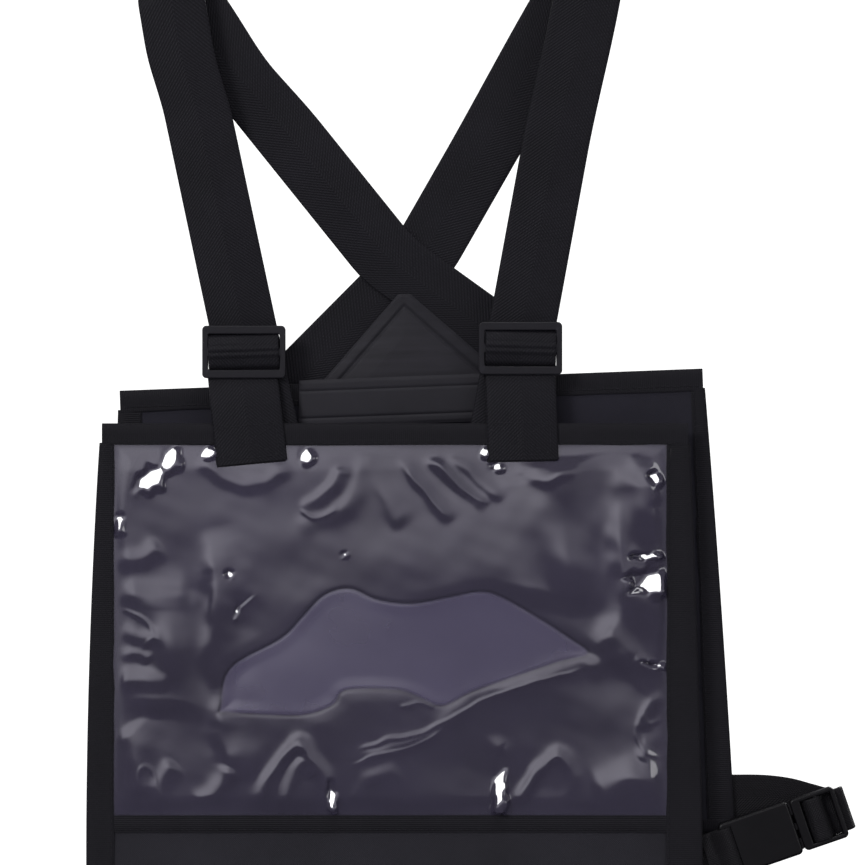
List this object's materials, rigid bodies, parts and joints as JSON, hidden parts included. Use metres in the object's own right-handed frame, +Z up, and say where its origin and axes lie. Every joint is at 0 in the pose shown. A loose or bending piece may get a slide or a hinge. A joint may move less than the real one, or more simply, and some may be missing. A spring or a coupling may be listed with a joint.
{
  "type": "two-panel bib vest",
  "caption": "Bib vest with clear front and back pockets, crossed-back webbing shoulder straps, sliding strap adjusters and a side-release buckle at the waist.",
  "frame": {"origin": "middle of the shoulder line, where the straps rest on the shoulders", "axes": "+Z up, as worn; the front panel faces -Y; +X is to the viewer's right seen from the front"},
  "size_m": [0.4615, 0.0262, 0.5693],
  "materials": {
    "panel_fabric": "matt coated oxford weave",
    "binding_tape": "ribbed woven tape",
    "yoke_fabric": "satin woven",
    "webbing": "woven polyester webbing",
    "clear_sheet": "glossy flexible clear PVC",
    "closure_tape": "hook and loop",
    "buckle_plastic": "moulded acetal, fine texture"
  },
  "bodies": {
    "back": {"back_panel": "panel_fabric", "back_window": "clear_sheet", "back_binding_top": "binding_tape", "back_binding_left": "binding_tape", "back_binding_right": "binding_tape", "back_binding_bottom": "binding_tape", "back_window_band": "binding_tape", "yoke_patch": "yoke_fabric", "yoke_backing": "yoke_fabric", "strap_left_back": "webbing", "strap_right_back": "webbing", "side_strap_right_rear": "webbing", "side_strap_left_rear": "webbing"},
    "straps_front": {"strap_left_front": "webbing", "strap_right_front": "webbing"},
    "front": {"front_panel": "panel_fabric", "front_window": "clear_sheet", "front_binding_top": "binding_tape", "front_binding_left": "binding_tape", "front_binding_right": "binding_tape", "front_binding_bottom": "binding_tape", "front_window_band": "binding_tape", "pocket_tape_loop": "closure_tape", "pocket_tape_hook": "closure_tape", "tab_left": "webbing", "tab_right": "webbing", "socket_webbing": "webbing", "buckle_socket": "buckle_plastic", "side_strap_left_front": "webbing"},
    "adjuster_left": {"triglide_left": "buckle_plastic", "strap_wrap_left": "webbing", "tab_loop_left": "webbing"},
    "adjuster_right": {"triglide_right": "buckle_plastic", "strap_wrap_right": "webbing", "tab_loop_right": "webbing"},
    "clip": {"buckle_clip": "buckle_plastic", "side_strap_right_clip": "webbing"},
    "prong_upper": {"prong_upper": "buckle_plastic"},
    "prong_lower": {"prong_lower": "buckle_plastic"}
  },
  "joints": [
    {"name": "front_swing", "type": "hinge", "parent": "back", "child": "straps_front", "pos_m": [0, -0.007, 0.009], "axis": [-1, 0, 0], "range_deg": [0, 5]},
    {"name": "height_adjust", "type": "slide", "parent": "straps_front", "child": "front", "axis": [0, 0, 1], "range_m": [-0.02, 0.03]},
    {"name": "adjuster_left_shift", "type": "slide", "parent": "front", "child": "adjuster_left", "axis": [1, 0, 0], "range_m": [-0.0068, 0.0048]},
    {"name": "adjuster_right_shift", "type": "slide", "parent": "front", "child": "adjuster_right", "axis": [1, 0, 0], "range_m": [-0.0042, 0.006]},
    {"name": "clip_release", "type": "slide", "parent": "front", "child": "clip", "axis": [0.9455, 0, 0.3256], "range_m": [0, 0.03]},
    {"name": "prong_upper_squeeze", "type": "hinge", "parent": "clip", "child": "prong_upper", "pos_m": [0.23868, -0.009, -0.50663], "axis": [0, -1, 0], "range_deg": [0, 8], "stiffness_Nm_per_rad": 0.12},
    {"name": "prong_lower_squeeze", "type": "hinge", "parent": "clip", "child": "prong_lower", "pos_m": [0.2435, -0.009, -0.52062], "axis": [0, -1, 0], "range_deg": [-8, 0], "stiffness_Nm_per_rad": 0.12}
  ],
  "couplings": [
    {"joint": "adjuster_left_shift", "follows": "height_adjust", "ratio": -0.2126},
    {"joint": "adjuster_right_shift", "follows": "height_adjust", "ratio": 0.1835},
    {"joint": "prong_lower_squeeze", "follows": "prong_upper_squeeze", "ratio": -1}
  ]
}
